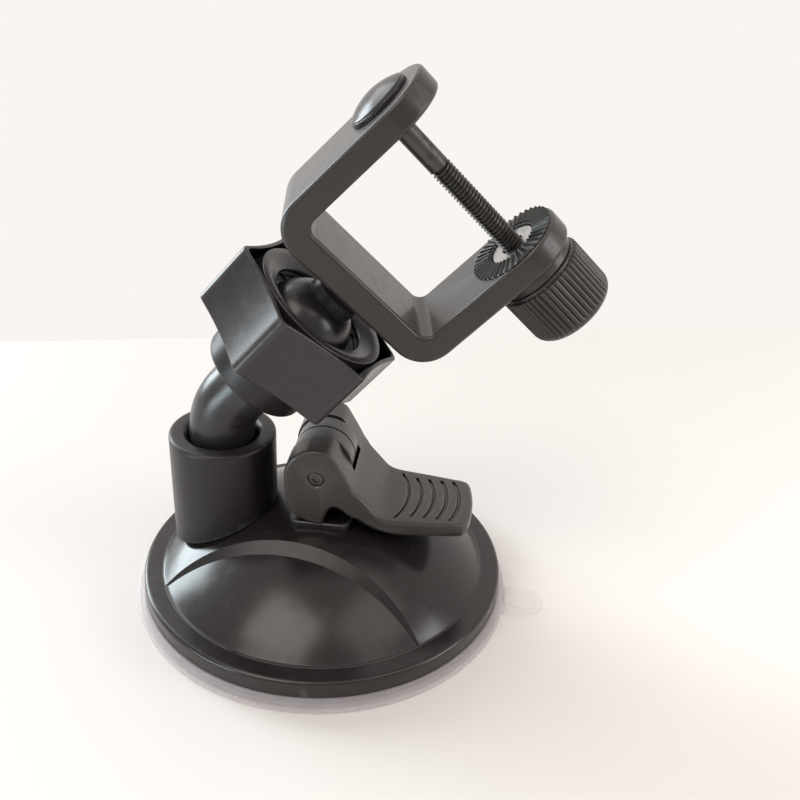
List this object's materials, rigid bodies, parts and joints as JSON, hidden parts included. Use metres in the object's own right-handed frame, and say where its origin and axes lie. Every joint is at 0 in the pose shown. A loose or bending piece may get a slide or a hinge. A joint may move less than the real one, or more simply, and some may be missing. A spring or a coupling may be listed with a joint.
{
  "type": "dashboard camera suction mount",
  "caption": "Suction cup mount with a cam lever, a swivelling bent arm, a ball joint under a hexagonal locking nut, and a U bracket with a clamp screw and knurled knob",
  "frame": {"origin": "Middle of the suction pad, on the plane of the glass that it grips", "axes": "+Z points away from the glass, out of the cup. +X is the side the locking lever's paddle lies on, and the post stands on the -X side. +Y completes the right-handed set."},
  "size_m": [0.0849, 0.073, 0.1001],
  "materials": {
    "clear_pad": "soft clear grey plasticised rubber",
    "gloss_shell": "glossy moulded black",
    "satin_black": "satin moulded black",
    "steel": "zinc-plated",
    "brass": "plain"
  },
  "bodies": {
    "base": {"base_cover": "gloss_shell", "suction_pad": "clear_pad", "pad_web": "clear_pad", "post": "satin_black", "stem_spring": "steel"},
    "plunger": {"stem": "satin_black", "anchor_disc": "satin_black", "lever_pin": "steel"},
    "lever": {"cam_lever": "satin_black"},
    "arm": {"arm": "gloss_shell", "arm_washer": "steel", "arm_screw": "steel", "socket_cup": "satin_black"},
    "collar": {"ball_liner": "satin_black"},
    "pressure_ring": {"nut_ring": "steel"},
    "nut": {"lock_nut": "gloss_shell"},
    "ball": {"ball_stud": "gloss_shell"},
    "head": {"bracket": "satin_black", "toothed_ring": "satin_black", "ear_bushing": "steel", "clamp_screw": "steel", "screw_cap": "gloss_shell"},
    "washer": {"knob_washer": "satin_black"},
    "knob": {"knob": "satin_black", "knob_insert": "brass"}
  },
  "joints": [
    {"name": "stem_slide", "type": "slide", "parent": "base", "child": "plunger", "axis": [0, 0, 1], "range_m": [-0.00122, 0.00002], "deforming": ["stem_spring", "pad_web"]},
    {"name": "lever_turn", "type": "hinge", "parent": "plunger", "child": "lever", "pos_m": [0, 0, 0.0296], "axis": [-0.0802, -0.9968, 0], "range_deg": [0, 60]},
    {"name": "arm_swivel", "type": "hinge", "parent": "base", "child": "arm", "pos_m": [-0.01949, 0.00157, 0.0325], "axis": [0, 0, 1], "continuous": true},
    {"name": "ball_swing", "type": "hinge", "parent": "arm", "child": "collar", "pos_m": [-0.00427, 0.00088, 0.05496], "axis": [0.6488, -0.0295, 0.7604], "continuous": true},
    {"name": "ball_tilt", "type": "hinge", "parent": "collar", "child": "ball", "pos_m": [-0.00427, 0.00088, 0.05496], "axis": [-0.4875, 0.7511, 0.4451], "range_deg": [-20, 10]},
    {"name": "head_spin", "type": "hinge", "parent": "ball", "child": "head", "pos_m": [-0.00427, 0.00088, 0.05496], "axis": [0.6973, 0.0282, 0.7162], "continuous": true},
    {"name": "nut_rise", "type": "slide", "parent": "arm", "child": "pressure_ring", "axis": [0.6488, -0.0295, 0.7604], "range_m": [0, 0.00085]},
    {"name": "nut_turn", "type": "hinge", "parent": "pressure_ring", "child": "nut", "pos_m": [-0.00427, 0.00088, 0.05496], "axis": [0.6488, -0.0295, 0.7604], "range_deg": [0, 120]},
    {"name": "knob_travel", "type": "slide", "parent": "head", "child": "washer", "axis": [0.7131, 0.0737, -0.6972], "range_m": [0, 0.0022]},
    {"name": "knob_turn", "type": "hinge", "parent": "washer", "child": "knob", "pos_m": [0.03434, 0.00327, 0.06824], "axis": [0.7131, 0.0737, -0.6972], "range_deg": [0, 1080]}
  ],
  "couplings": [
    {"joint": "stem_slide", "follows": "lever_turn", "m_per_rad": -0.0011459},
    {"joint": "nut_rise", "follows": "nut_turn", "m_per_rad": 0.00039789},
    {"joint": "knob_travel", "follows": "knob_turn", "m_per_rad": 0.00011141}
  ]
}
